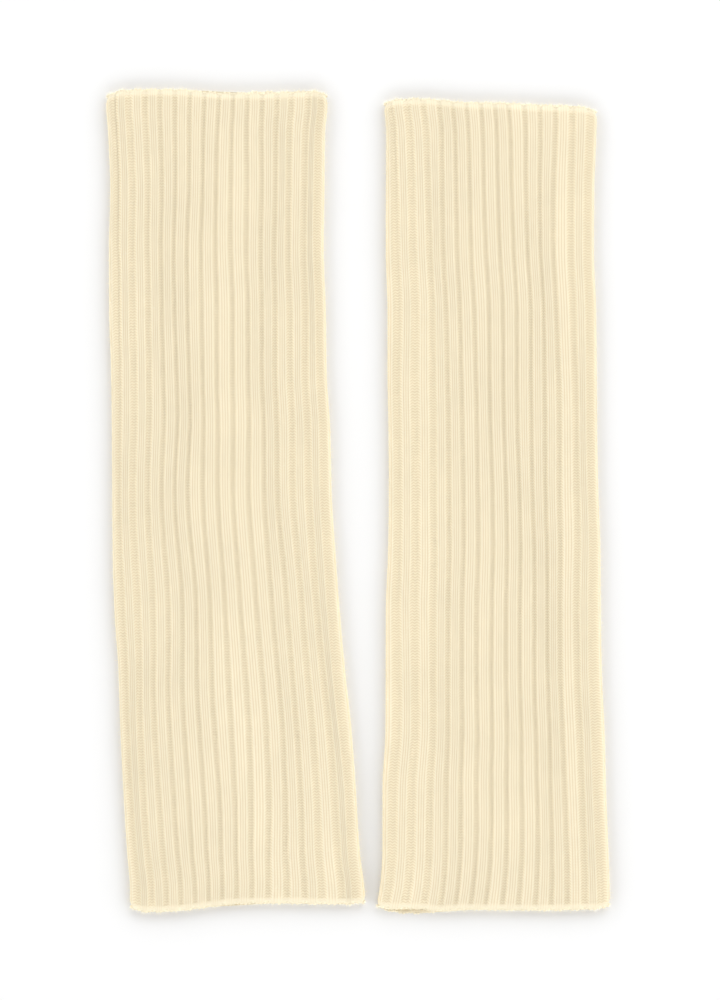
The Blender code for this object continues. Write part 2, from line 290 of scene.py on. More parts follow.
def awayFromEnd(course):
    # courses from the nearer end of the tube
    return np.minimum(course, knit["courses"] - course)


def ribNumber(leg, wale):
    # Counts ribs round the front: whole at valley centres, wale 0 being the first valley's centre.
    # Two purl wales crowd into each valley, and two knit wales share the rib.
    valley = np.floor(wale / knit["walesPerRib"])
    part = wale - valley * knit["walesPerRib"]
    numbers = column(leg["valleys"], valleyColumns, "valley")
    gapes = column(leg["valleys"], valleyColumns, "gape")
    here = easeThrough(numbers, gapes, valley + 1) / 2
    there = easeThrough(numbers, gapes, valley + 2) / 2
    onRib = here + (1 - here - there) * (part - 1) / 2
    share = np.where(part < 1, here * part, np.where(part > 3, 1 - there * (4 - part), onRib))
    return valley + 1 + share


def acrossAt(leg, ribs, downs):
    # share of the width for each row down and each rib number across
    numbers = column(leg["valleys"], valleyColumns, "valley")
    shares = np.stack([easeThrough(numbers, column(leg["valleys"], valleyColumns, place), ribs)
                       for place in downPlaces])
    return easeThrough(downPlaces, shares, downs)


def swellAt(leg, across, down):
    height = np.zeros_like(across)
    for row in leg["swells"]:
        swell = dict(zip(swellColumns, row))
        far = ((across - swell["across"]) / swell["reachAcross"]) ** 2
        far = far + ((down - swell["down"]) / swell["reachDown"]) ** 2
        height += swell["height"] * mm * np.exp(-far)
    fromFold = np.minimum(across, 1 - across) - swellCalm["foldMargin"]
    calm = np.clip(fromFold / swellCalm["foldFade"], 0, 1)
    calm = calm * np.clip(np.minimum(down, 1 - down) / swellCalm["endFade"], 0, 1)
    return height * calm * calm * (3 - 2 * calm)


def smoothStep(low, high, value):
    part = np.clip((value - low) / (high - low), 0, 1)
    return part * part * (3 - 2 * part)


def scallopAt(wale, course):
    # the edge bulges past each rib and draws in at each valley, and dies out within a few courses
    bulge = smoothStep(0.1, 1.7, awayFromValley(wale)) - 0.6
    outwards = np.sign(knit["courses"] / 2 - course)
    fade = np.exp(-np.maximum(awayFromEnd(course), 0) / knit["scallopFade"])
    return bulge * outwards * knit["scallop"] * fade


def reliefAt(wale, course):
    # how far the rib stands up, much as ribReliefTree raises it
    wall = smoothStep(knit["wallFoot"], knit["wallHead"], awayFromValley(wale))
    return knit["ribHeight"] * wall * (0.15 + 0.85 * smoothStep(1.5, 2.7, awayFromEnd(course)))


def frontSurface(leg, wale, course):
    # points and outward directions of the smooth front layer; wale is one row, course a full grid
    down = course / knit["courses"]
    across = acrossAt(leg, ribNumber(leg, wale), down.mean(axis=1))
    top, bottom = endAt(leg, "top", "Front", across), endAt(leg, "bottom", "Front", across)
    up = top + (bottom - top) * down + scallopAt(wale, course)
    left, right = foldAt(leg, "left", up), foldAt(leg, "right", up)
    level = np.full_like(up, bareTop) + swellAt(leg, across, down)
    points = np.stack([left + (right - left) * across, up, level], axis=-1)
    outward = np.zeros_like(points)
    outward[..., 2] = 1.0
    return points, outward


def backSurface(leg, wale, course):
    # from the last valley of the front, round the right fold, under, and round the left fold
    down = course / knit["courses"]
    first, last = walesRound, lastValleyWale(leg)
    rightTip, leftTip = foldTips(leg)
    rows = down.mean(axis=1)
    cutRight = acrossAt(leg, np.array([float(valleyCount(leg))]), rows)
    cutLeft = acrossAt(leg, np.array([1.0]), rows)

    # distances from fold to fold, first with the folds at the row's own height
    points, outward = np.zeros(course.shape + (3,)), np.zeros(course.shape + (3,))
    corner = bareBottom + foldRadius
    quarter = foldRadius * math.pi / 2
    middleTop = endAt(leg, "top", "Under", np.array(0.5))
    middleBottom = endAt(leg, "bottom", "Under", np.array(0.5))
    rowUp = middleTop + (middleBottom - middleTop) * rows
    rowLeft, rowRight = foldAt(leg, "left", rowUp), foldAt(leg, "right", rowUp)
    width = (rowRight - rowLeft)[:, None]
    wale = np.broadcast_to(wale, course.shape)

    flatRight = (1 - cutRight) * width - corner
    flatLeft = cutLeft * width - corner
    underFlat = width - 2 * corner
    reachRight = flatRight + quarter
    reachUnder = underFlat + 2 * quarter
    reachLeft = quarter + flatLeft
    onRight, onLeft = wale <= rightTip, wale >= leftTip
    shareRight = (wale - last) / (rightTip - last)
    shareUnder = (wale - rightTip) / (leftTip - rightTip)
    shareLeft = (wale - leftTip) / (first - leftTip)
    travel = np.where(onRight, shareRight * reachRight,
                      np.where(onLeft, reachRight + reachUnder + shareLeft * reachLeft,
                               reachRight + shareUnder * reachUnder))
    # travel runs along: flat, right fold, flat underside, left fold, flat
    inRight = np.clip((travel - flatRight) / (2 * quarter), 0, 1)
    inLeft = np.clip((travel - flatRight - 2 * quarter - underFlat) / (2 * quarter), 0, 1)
    turn = math.pi * (inRight + inLeft)
    fromRight = np.where(travel < flatRight + quarter, flatRight - travel, 0)
    underWay = np.clip(travel - flatRight - 2 * quarter, 0, underFlat)
    leftWay = np.clip(travel - flatRight - 4 * quarter - underFlat, 0, None)
    centreX = rowRight[:, None] - corner - underWay
    centreX = np.where(fromRight > 0, rowRight[:, None] - corner - fromRight, centreX)
    centreX = centreX + leftWay
    points[..., 0] = centreX + foldRadius * np.sin(turn)
    points[..., 2] = (bareTop + bareBottom) / 2 + foldRadius * np.cos(turn)
    outward[..., 0], outward[..., 2] = np.sin(turn), np.cos(turn)

    across = np.clip((points[..., 0] - rowLeft[:, None]) / width, 0, 1)
    onTop = smoothStep(-0.2, 1.0, outward[..., 2])
    top = endAt(leg, "top", "Front", across) * onTop + endAt(leg, "top", "Under", across) * (1 - onTop)
    bottom = (endAt(leg, "bottom", "Front", across) * onTop
              + endAt(leg, "bottom", "Under", across) * (1 - onTop))
    up = top + (bottom - top) * down + scallopAt(wale, course)
    shift = foldAt(leg, "left", up) * (1 - across) + foldAt(leg, "right", up) * across
    shift -= rowLeft[:, None] * (1 - across) + rowRight[:, None] * across
    points[..., 0] += shift
    points[..., 1] = up
    return points, outward


def isPurl(wales):
    # true from one side of a valley to the other
    return awayFromValley(wales) < 1.01


def slanted(wales, rows):
    # the course along each upright line: wale centres lie lower or higher, which slants each stitch leg
    grid = np.repeat(rows[:, None], len(wales), axis=1)
    centred = np.abs(wales % 1.0 - 0.5) < 0.01
    slant = np.where(centred, np.where(isPurl(wales), knit["purlSlant"], knit["legSlant"]), 0.0)
    return grid + slant * np.clip(np.minimum(grid, knit["courses"] - grid), 0, 1)


def stitchedShell(leg, name, wales, surface, bridged, innerPlaces, innerPoints):
    # One wall of the tube, closed all round: outside, knit legs are upright cords, with low bridges from
    # course to course where they are seen, and purl loops are rows that rise to a ridge; inside is plain.
    courses = knit["courses"]
    ridged = isPurl(wales)
    bridged = bridged & ~(ridged[:-1] & ridged[1:])
    gapCourse = slanted(wales, np.arange(courses + 1.0))
    ridgeCourse = slanted(wales, np.arange(courses) + 0.5)
    middles = (wales[:-1] + wales[1:]) / 2
    blocks = [(wales, gapCourse, np.where(ridged, 0.0, knit["grooveLift"])),
              (wales, ridgeCourse, 1.0),
              (middles, (gapCourse[:, :-1] + gapCourse[:, 1:]) / 2, knit["bridgeLift"]),
              (middles, (ridgeCourse[:, :-1] + ridgeCourse[:, 1:]) / 2, 1.0)]
    points, outward, numbers, count = [], [], [], 0
    for places, courseGrid, _ in blocks:
        found = surface(leg, places, courseGrid)
        points.append(found[0].reshape(-1, 3))
        outward.append(found[1].reshape(-1, 3))
        numbers.append(count + np.arange(courseGrid.size).reshape(courseGrid.shape))
        count += courseGrid.size
    gap, ridge, bridge, crown = numbers

    triangles = []
    for strip in range(len(wales) - 1):
        above, below = gap[:-1, strip:strip + 2], gap[1:, strip:strip + 2]
        left, right = ridge[:, strip], ridge[:, strip + 1]
        if ridged[strip] and ridged[strip + 1]:
            triangles += quads(below[:, 0], below[:, 1], right, left)
            triangles += quads(left, right, above[:, 1], above[:, 0])
            continue
        around = [below[:, 0], bridge[1:, strip], below[:, 1], right,
                  above[:, 1], bridge[:-1, strip], above[:, 0], left, below[:, 0]]
        kept = (True, bridged[strip], True, ridged[strip + 1], True,
                bridged[strip], True, ridged[strip], True)
        around = [ring for ring, keep in zip(around, kept) if keep]
        for start, end in zip(around[:-1], around[1:]):
            triangles.append(np.stack([start, end, crown[:, strip]], -1))

    smoothCount = sum(len(block) for block in triangles)
    # the inside: a few lines whose rows match the outside, then the seams and the rims
    rowCount, innerCount = courses + 1, len(innerPlaces)
    inner = count + np.arange(rowCount * innerCount).reshape(rowCount, innerCount)
    triangles += quads(inner[:-1, 1:], inner[:-1, :-1], inner[1:, :-1], inner[1:, 1:])
    for edge, flip in ((0, 1), (-1, -1)):
        side, back = (gap[:-1, edge], ridge[:, edge], gap[1:, edge]), (inner[:-1, edge], inner[1:, edge])
        for corners in ((side[0], back[0], side[1]), (side[1], back[0], back[1]),
                        (side[1], back[1], side[2])):
            triangles.append(np.stack(corners[::flip], -1)[:, ::-1])
    kept = np.append(np.stack([np.ones_like(bridged), bridged], -1).ravel(), True)
    spots = np.append(np.stack([wales[:-1], middles], -1).ravel(), wales[-1])[kept]
    spots = (spots - wales[0]) / (wales[-1] - wales[0])
    for row, flip in ((0, 1), (-1, -1)):
        outer = np.append(np.stack([gap[row, :-1], bridge[row]], -1).ravel(), gap[row, -1])[kept]
        triangles.append(rimBetween(outer, spots, inner[row], innerPlaces)[:, ::flip])

    innerSize = innerPoints.size // 3
    points = np.concatenate(points + [innerPoints.reshape(-1, 3)])
    outward = np.concatenate(outward + [np.zeros((innerSize, 3))])
    fields = {"outward": outward}
    for label, part, rest in (("wale", 0, 2.0), ("course", 1, courses / 2), ("lift", 2, 0.5)):
        spread = [np.broadcast_to(block[part], block[1].shape).ravel() for block in blocks]
        fields[label] = np.concatenate(spread + [np.full(innerSize, rest)])
    used, faces = np.unique(np.concatenate([t.reshape(-1, 3) for t in triangles]), return_inverse=True)
    mesh = meshFrom(name, points[used], faces.reshape(-1, 3))
    rough = np.arange(len(mesh.polygons)) >= smoothCount
    mesh.attributes.new("sharp_face", "BOOLEAN", "FACE").data.foreach_set("value", rough)
    edges = np.zeros(len(mesh.loops), np.int32)
    mesh.loops.foreach_get("edge_index", edges)
    crease = np.zeros(len(mesh.edges), bool)
    crease[edges[np.repeat(rough, 3)]] = True
    mesh.attributes.new("sharp_edge", "BOOLEAN", "EDGE").data.foreach_set("value", crease)
    for label, values in fields.items():
        addField(mesh, label, values[used])
    return newPiece(name, mesh)


def quads(first, second, third, fourth):
    first, second, third, fourth = first.ravel(), second.ravel(), third.ravel(), fourth.ravel()
    return [np.stack([first, second, third], -1), np.stack([first, third, fourth], -1)]


def rimBetween(outer, outerPlaces, inner, innerPlaces):
    # triangles across the cut end, on to whichever side's point comes next
    at, beside, found = 0, 0, []
    while at < len(outer) - 1 or beside < len(inner) - 1:
        onOuter = beside == len(inner) - 1
        if not onOuter and at < len(outer) - 1:
            onOuter = outerPlaces[at + 1] <= innerPlaces[beside + 1]
        if onOuter:
            found.append((outer[at], outer[at + 1], inner[beside]))
            at += 1
        else:
            found.append((outer[at], inner[beside + 1], inner[beside]))
            beside += 1
    return np.array(found)


def meshFrom(name, points, triangles):
    mesh = bpy.data.meshes.new(name)
    mesh.vertices.add(len(points))
    mesh.vertices.foreach_set("co", points.astype(np.float32).ravel())
    mesh.loops.add(triangles.size)
    mesh.loops.foreach_set("vertex_index", triangles.astype(np.int32).ravel())
    mesh.polygons.add(len(triangles))
    mesh.polygons.foreach_set("loop_start", np.arange(0, triangles.size, 3, dtype=np.int32))
    mesh.update(calc_edges=True)
    mesh.validate()
    return mesh


def addField(mesh, name, values):
    vector = values.ndim == 2
    field = mesh.attributes.new(name, "FLOAT_VECTOR" if vector else "FLOAT", "POINT")
    field.data.foreach_set("vector" if vector else "value", values.astype(np.float32).ravel())


def newPiece(name, mesh):
    piece = bpy.data.objects.new(name, mesh)
    bpy.context.scene.collection.objects.link(piece)
    return piece


# Node helpers, for geometry and shader trees alike
def addNode(tree, kind, settings=None, inputs=None):
    node = tree.nodes.new(kind)
    for key, value in (settings or {}).items():
        setattr(node, key, value)
    for key, value in (inputs or {}).items():
        if isinstance(value, bpy.types.NodeSocket):
            tree.links.new(value, node.inputs[key])
        else:
            node.inputs[key].default_value = value
    return node


def calc(tree, operation, first, second=0.0, third=0.0):
    node = addNode(tree, "ShaderNodeMath", {"operation": operation}, {0: first, 1: second, 2: third})
    return node.outputs[0]


def stepBetween(tree, value, low, high, fromLow=0.0, toHigh=1.0):
    inputs = {"Value": value, "From Min": low, "From Max": high, "To Min": fromLow, "To Max": toHigh}
    node = addNode(tree, "ShaderNodeMapRange", {"interpolation_type": "SMOOTHSTEP"}, inputs)
    return node.outputs["Result"]


def vectorOf(tree, x, y, z):
    return addNode(tree, "ShaderNodeCombineXYZ", None, {"X": x, "Y": y, "Z": z}).outputs[0]


def scaled(tree, vector, factor):
    inputs = {0: vector, "Scale": factor}
    return addNode(tree, "ShaderNodeVectorMath", {"operation": "SCALE"}, inputs).outputs[0]


def noiseAt(tree, vector, scale, detail, roughness):
    inputs = {"Vector": vector, "Scale": scale, "Detail": detail, "Roughness": roughness}
    return addNode(tree, "ShaderNodeTexNoise", None, inputs).outputs


def newTree(name, kind, inputs, outputs):
    tree = bpy.data.node_groups.new(name, kind)
    for direction, sockets in (("INPUT", inputs), ("OUTPUT", outputs)):
        for label, socketType in sockets.items():
            tree.interface.new_socket(name=label, in_out=direction, socket_type="NodeSocket" + socketType)
    return tree, tree.nodes.new("NodeGroupInput").outputs, tree.nodes.new("NodeGroupOutput").inputs


def readField(tree, name, kind="FLOAT"):
    node = addNode(tree, "GeometryNodeInputNamedAttribute", {"data_type": kind}, {"Name": name})
    return node.outputs["Attribute"]


def keepField(tree, geometry, name, value):
    inputs = {"Geometry": geometry, "Name": name, "Value": value}
    settings = {"data_type": "FLOAT", "domain": "POINT"}
    return addNode(tree, "GeometryNodeStoreNamedAttribute", settings, inputs).outputs[0]


def turnedAlong(tree, axis, angle):
    # a rotation that lays X along the point's own direction, then turns about one of its axes
    facing = addNode(tree, "FunctionNodeAlignRotationToVector", {"axis": "X"},
                     {"Vector": readField(tree, "along", "FLOAT_VECTOR")})
    turn = addNode(tree, "FunctionNodeAxisAngleToRotation", None, {"Axis": axis, "Angle": angle})
    return addNode(tree, "FunctionNodeRotateRotation", {"rotation_space": "LOCAL"},
                   {"Rotation": facing.outputs[0], "Rotate By": turn.outputs[0]}).outputs[0]


def chance(tree, spread, seed):
    # a different factor for each point, within the spread either side of one
    return addNode(tree, "FunctionNodeRandomValue", {"data_type": "FLOAT"}, {
        "Min": calc(tree, "SUBTRACT", 1.0, spread),
        "Max": calc(tree, "ADD", 1.0, spread), "Seed": seed}).outputs[1]


def dressed(tree, geometry, yarn, fields):
    # realizes the instances, keeps what the yarn's colour reads, and sets the material
    kept = addNode(tree, "GeometryNodeRealizeInstances", None, {"Geometry": geometry}).outputs[0]
    for name, value in fields.items():
        kept = keepField(tree, kept, name, value)
    return addNode(tree, "GeometryNodeSetMaterial", None, {"Geometry": kept, "Material": yarn}).outputs[0]


def bakeTree(piece, tree, values):
    # runs a geometry tree on a piece and leaves its plain result
    modifier = piece.modifiers.new(tree.name, "NODES")
    modifier.node_group = tree
    sockets = {item.name: item.identifier for item in tree.interface.items_tree if item.in_out == "INPUT"}
    for label, value in values.items():
        modifier[sockets[label]] = value
    piece.update_tag()
    seen = piece.evaluated_get(bpy.context.evaluated_depsgraph_get())
    baked = bpy.data.meshes.new_from_object(seen)
    piece.modifiers.remove(modifier)
    bare = piece.data
    piece.data = baked
    bpy.data.meshes.remove(bare)
    baked.name = piece.name
    return piece


def ribReliefTree():
    # raises the ribs, crowns each stitch leg and lets the rows wander a little
    tree, given, result = newTree("ribRelief", "GeometryNodeTree", {
        "Geometry": "Geometry", "ribHeight": "Float", "wallFoot": "Float", "wallHead": "Float",
        "stitchDepth": "Float", "purlDepth": "Float", "courses": "Float", "edgeDrop": "Float",
        "unevenness": "Float", "sway": "Float", "seed": "Float", "yarn": "Material",
    }, {"Geometry": "Geometry"})
    wale, course, lift = readField(tree, "wale"), readField(tree, "course"), readField(tree, "lift")
    half = knit["walesPerRib"] / 2
    fromValley = calc(tree, "ABSOLUTE", calc(tree, "WRAP", wale, half, -half))
    wall = stepBetween(tree, fromValley, given["wallFoot"], given["wallHead"], 0.0, 0.94)
    rounding = stepBetween(tree, fromValley, 1.1, 2.1, 0.0, 0.06)
    fromEnd = calc(tree, "MINIMUM", course, calc(tree, "SUBTRACT", given["courses"], course))
    opened = stepBetween(tree, fromEnd, endBand["ribFrom"], endBand["ribTo"], endBand["ribShare"], 1.0)
    rib = calc(tree, "MULTIPLY", calc(tree, "ADD", wall, rounding), opened)
    purl = stepBetween(tree, fromValley, 0.9, 1.1, 1.0, 0.0)
    depth = addNode(tree, "ShaderNodeMix", {"data_type": "FLOAT"},
                    {0: purl, 2: given["stitchDepth"], 3: given["purlDepth"]}).outputs[0]
    place = vectorOf(tree, calc(tree, "MULTIPLY", wale, 0.8), calc(tree, "MULTIPLY", course, 0.5),
                     given["seed"])
    noise = noiseAt(tree, place, 1.0, 2.0, 0.6)
    awayFromSeam = stepBetween(tree, fromValley, 0.0, 0.4)
    wander = calc(tree, "MULTIPLY", calc(tree, "SUBTRACT", noise[0], 0.5), given["unevenness"])
    wander = calc(tree, "MULTIPLY", wander, awayFromSeam)
    dropHere = stepBetween(tree, fromEnd, 0.0, endBand["dropReach"], 1.0, 0.0)
    drop = calc(tree, "MULTIPLY", dropHere, given["edgeDrop"])
    firm = stepBetween(tree, fromEnd, endBand["stitchFrom"], endBand["stitchTo"], endBand["stitchShare"])
    depth = calc(tree, "MULTIPLY", depth, firm)
    relief = calc(tree, "MULTIPLY", rib, given["ribHeight"])
    relief = calc(tree, "MULTIPLY_ADD", calc(tree, "SUBTRACT", lift, 0.5), depth, relief)
    relief = calc(tree, "SUBTRACT", calc(tree, "ADD", relief, wander), drop)
    outward = readField(tree, "outward", "FLOAT_VECTOR")
    offset = scaled(tree, outward, relief)
    aside = addNode(tree, "ShaderNodeVectorMath", {"operation": "SUBTRACT"},
                    {0: noise[1], 1: (0.5, 0.5, 0.5)}).outputs[0]
    outside = addNode(tree, "ShaderNodeVectorMath", {"operation": "LENGTH"}, {0: outward}).outputs["Value"]
    swayHere = calc(tree, "MULTIPLY", given["sway"], calc(tree, "MULTIPLY", outside, awayFromSeam))
    aside = scaled(tree, aside, swayHere)
    offset = addNode(tree, "ShaderNodeVectorMath", {"operation": "ADD"}, {0: offset, 1: aside}).outputs[0]
    moved = addNode(tree, "GeometryNodeSetPosition", None,
                    {"Geometry": given["Geometry"], "Offset": offset})
    kept = keepField(tree, moved.outputs[0], "rib", rib)
    edge = stepBetween(tree, fromEnd, endBand["toneFrom"], endBand["toneTo"], 1.0, 0.0)
    kept = keepField(tree, kept, "edge", edge)
    tree.links.new(dressed(tree, kept, given["yarn"], {}), result["Geometry"])
    return tree


# Scales of the yarn's unevenness: broad patches, streaks along a wale, the plies' twist and fibres,
# and how far fibres and twist stand up under the light
yarnGrain = {
    "patchScale": 38.0,
    "streakAcross": 1.7,
    "streakDown": 0.16,
    "pliesAcross": 2.0,
    "plyScale": 1.3,
    "fibreScale": 2600.0,
    "fibreShare": 0.6,
    "height": 0.08 * mm,
}


def storedField(tree, name):
    # a value that the piece keeps at each point
    return addNode(tree, "ShaderNodeAttribute", {"attribute_name": name}).outputs["Fac"]


def blendColours(tree, share, first, second):
    return addNode(tree, "ShaderNodeMix", {"data_type": "RGBA"}, {0: share, 6: first, 7: second}).outputs[2]


def woolToneGroup():
    # colour and fine height of the yarn, from how far down a point lies in the ribs and stitches; it paints
    # warm bounce light into the valleys and shade into the gaps between stitches
    tree, given, result = newTree("woolTone", "ShaderNodeTree", {
        "crest": "Color", "valley": "Color", "edge": "Color", "gap": "Color",
        "gapShadeShare": "Float", "purlShadeShare": "Float", "mottle": "Float", "twist": "Float",
    }, {"colour": "Color", "height": "Float"})
    names = ("rib", "lift", "edge", "wale", "course")
    rib, lift, edge, wale, course = (storedField(tree, name) for name in names)
    place = addNode(tree, "ShaderNodeTexCoord").outputs["Object"]
    # painted warm bounce light: the valley colour, lighter and warmer than the crest, fills the low purl
    # valleys
    colour = blendColours(tree, stepBetween(tree, rib, 0.1, 0.95), given["valley"], given["crest"])
    colour = blendColours(tree, edge, colour, given["edge"])
    # painted shade: the darker tan gap colour is mixed in where a point lies low between stitches, less in
    # the end band
    depth = calc(tree, "POWER", calc(tree, "SUBTRACT", 1.0, lift), 1.5)
    depth = calc(tree, "MULTIPLY", depth, calc(tree, "MULTIPLY_ADD", edge, -0.75, 1.0))
    gapShadeShareHere = addNode(tree, "ShaderNodeMapRange", None, {
        "Value": rib, "From Min": 0.1, "From Max": 0.6,
        "To Min": given["purlShadeShare"], "To Max": given["gapShadeShare"]})
    paintedGapShade = calc(tree, "MULTIPLY", depth, gapShadeShareHere.outputs[0])
    colour = blendColours(tree, paintedGapShade, colour, given["gap"])
    broad = noiseAt(tree, place, yarnGrain["patchScale"], 3.0, 0.6)[0]
    streakPlace = vectorOf(tree, calc(tree, "MULTIPLY", wale, yarnGrain["streakAcross"]),
                           calc(tree, "MULTIPLY", course, yarnGrain["streakDown"]), 0.0)
    streak = noiseAt(tree, streakPlace, 1.0, 2.0, 0.5)[0]
    uneven = calc(tree, "SUBTRACT", calc(tree, "ADD", broad, streak), 1.0)
    shade = calc(tree, "MULTIPLY_ADD", uneven, given["mottle"], 1.0)
    tree.links.new(scaled(tree, colour, shade), result["colour"])
    fibres = noiseAt(tree, place, yarnGrain["fibreScale"], 3.0, 0.65)[0]
    fibres = calc(tree, "MULTIPLY", fibres, yarnGrain["fibreShare"])
    plyPlace = vectorOf(tree, calc(tree, "MULTIPLY", wale, yarnGrain["pliesAcross"]), course, 0.0)
    ply = addNode(tree, "ShaderNodeTexWave", {"bands_direction": "DIAGONAL"}, {
        "Vector": plyPlace, "Scale": yarnGrain["plyScale"], "Distortion": 1.5,
        "Detail": 1.0}).outputs["Fac"]
    tree.links.new(calc(tree, "MULTIPLY_ADD", ply, given["twist"], fibres), result["height"])
    return tree


def woolMaterial(name, toneGroup, look):
    material = bpy.data.materials.new(name)
    material.use_nodes = True
    tree = material.node_tree
    shader = tree.nodes["Principled BSDF"]
    shader.inputs["Roughness"].default_value = look["roughness"]
    shader.inputs["Specular IOR Level"].default_value = look["specular"]
    shader.inputs["Sheen Weight"].default_value = look["sheen"]
    shader.inputs["Sheen Roughness"].default_value = 0.6
    shader.inputs["Sheen Tint"].default_value = look["crest"] + (1.0,)
    # valley carries painted warm bounce light and gap carries painted shade
    tones = {name: look[name] + (1.0,) for name in ("crest", "valley", "edge", "gap")}
    shares = {name: look[name] for name in ("gapShadeShare", "purlShadeShare", "mottle", "twist")}
    tone = addNode(tree, "ShaderNodeGroup", {"node_tree": toneGroup}, {**tones, **shares})
    bump = addNode(tree, "ShaderNodeBump", None, {
        "Height": tone.outputs["height"], "Strength": look["bump"],
        "Distance": yarnGrain["height"]})
    tree.links.new(tone.outputs["colour"], shader.inputs["Base Color"])
    tree.links.new(bump.outputs[0], shader.inputs["Normal"])
    return material


# Colours of the undyed cream yarn, linear; valley holds painted warm bounce light and gap holds painted
# shade
yarnLook = {
    "crest": (0.95, 0.868, 0.664),
    # painted warm bounce light in the purl valleys, lighter and warmer than the crest
    "valley": (0.985, 0.882, 0.65),
    "edge": (0.91, 0.83, 0.635),
    # painted shade between stitches; the two shares below say how much of it goes on the ribs and in the
    # valleys
    "gap": (0.78, 0.62, 0.38),
    "gapShadeShare": 0.5,
    "purlShadeShare": 0.72,
    "mottle": 0.07,
    "twist": 0.5,
    "roughness": 0.92,
    "specular": 0.25,
    "sheen": 0.12,
    "bump": 0.5,
}


# The loose fibres, a little paler because light passes through them
fuzzLook = {
    "crest": (0.94, 0.89, 0.74),
    # painted warm bounce light in the valleys, as in the yarn
    "valley": (0.92, 0.86, 0.69),
    "edge": (0.95, 0.91, 0.77),
    # painted shade between stitches, as in the yarn
    "gap": (0.88, 0.80, 0.62),
    "gapShadeShare": 0.3,
    "purlShadeShare": 0.3,
    "mottle": 0.08,
    "twist": 0.3,
    "roughness": 0.95,
    "specular": 0.15,
    "sheen": 0.0,
    "bump": 0.2,
}


def frontPiece(leg, reliefTree, yarn):
    wales = np.arange(0.0, lastValleyWale(leg) + 0.01, 0.5)
    rows = np.repeat(np.arange(knit["courses"] + 1.0)[:, None], 4, axis=1)
    places = np.array([0.0, 0.33, 0.67, 1.0])
    innerPoints, _ = frontSurface(leg, wales[-1] * places, rows)
    innerPoints[..., 2] = slotTop
    bridged = np.ones(len(wales) - 1, bool)
    piece = stitchedShell(leg, leg["side"] + "Front", wales, frontSurface, bridged, places, innerPoints)
    return bakeTree(piece, reliefTree, reliefValues(leg, yarn))


def backPiece(leg, reliefTree, yarn):
    wales = np.arange(lastValleyWale(leg), walesRound + 0.01, 0.5)
    # the inside runs round the slot: out to the right fold, back along the underside, and up again;
    # a row holds the share of the width, the layer, how much further in it lies, and its level
    rows = np.arange(knit["courses"] + 1.0)
    foldWall = 2.6 * mm
    stations = (
        (None, "Front", 0.0, slotTop), (1.0, "Front", 0.6 * mm, slotTop),
        (1.0, "Under", 0.0, (slotTop + knit["underWall"]) / 2), (1.0, "Under", 0.6 * mm, knit["underWall"]),
        (0.5, "Under", 0.0, knit["underWall"]), (0.0, "Under", 0.6 * mm, knit["underWall"]),
        (0.0, "Under", 0.0, (slotTop + knit["underWall"]) / 2), (0.0, "Front", 0.6 * mm, slotTop),
        (None, "Front", 0.0, slotTop),
    )
    places = np.array([0.0, 0.03, 0.05, 0.07, 0.5, 0.93, 0.95, 0.97, 1.0])
    downs = rows / knit["courses"]
    cuts = [acrossAt(leg, np.array([valley]), downs)[:, 0] for valley in (float(valleyCount(leg)), 1.0)]
    innerPoints = np.zeros((len(rows), len(stations), 3))
    for index, (share, layer, inset, level) in enumerate(stations):
        if share is None:
            across = cuts[0] if index == 0 else cuts[1]
            pulled = 0.0
        else:
            across = np.full_like(downs, share)
            pulled = (foldWall + inset) * (1 - 2 * share)
        top, bottom = endAt(leg, "top", layer, across), endAt(leg, "bottom", layer, across)
        up = top + (bottom - top) * downs
        left, right = foldAt(leg, "left", up), foldAt(leg, "right", up)
        innerPoints[:, index, 0] = left + (right - left) * across + pulled
        innerPoints[:, index, 1] = up
        innerPoints[:, index, 2] = level
    bridged = (wales[:-1] < wales[0] + 8) | (wales[1:] > walesRound - 8)
    piece = stitchedShell(leg, leg["side"] + "Back", wales, backSurface, bridged, places, innerPoints)
    return bakeTree(piece, reliefTree, reliefValues(leg, yarn))


def reliefValues(leg, yarn):
    names = ("ribHeight", "wallFoot", "wallHead", "stitchDepth", "purlDepth", "edgeDrop",
             "unevenness", "sway")
    values = {name: knit[name] for name in names}
    seed = 3.0 if leg["side"] == "left" else 8.0
    return {**values, "courses": float(knit["courses"]), "seed": seed, "yarn": yarn}


# One loop of the chain along an end, and the course that the chains lie on
edgeCourse = 0.1
chainStitch = {
    "length": 2.5 * mm,
    "thickness": 1.3 * mm,
    "lean": 0.45,
    "sizeSpread": 0.12,
}


def chainTree():
    # one slanting yarn loop over the edge for every wale
    tree, given, result = newTree("chainEdge", "GeometryNodeTree", {
        "Geometry": "Geometry", "length": "Float", "thickness": "Float", "lean": "Float",
        "sizeSpread": "Float", "seed": "Int", "yarn": "Material",
    }, {"Geometry": "Geometry"})
    grain = addNode(tree, "GeometryNodeMeshUVSphere", None, {"Segments": 8, "Rings": 5, "Radius": 0.5})
    size = vectorOf(tree, given["length"], given["thickness"], readField(tree, "tall"))
    placed = addNode(tree, "GeometryNodeInstanceOnPoints", None, {
        "Points": given["Geometry"], "Instance": grain.outputs["Mesh"],
        "Rotation": turnedAlong(tree, (0.0, 0.0, 1.0), given["lean"]),
        "Scale": scaled(tree, size, chance(tree, given["sizeSpread"], given["seed"]))})
    finished = dressed(tree, placed.outputs[0], given["yarn"], {"edge": 1.0, "rib": 1.0, "lift": 0.9})
    smooth = addNode(tree, "GeometryNodeSetShadeSmooth", None, {"Geometry": finished})
    tree.links.new(smooth.outputs[0], result["Geometry"])
    return tree


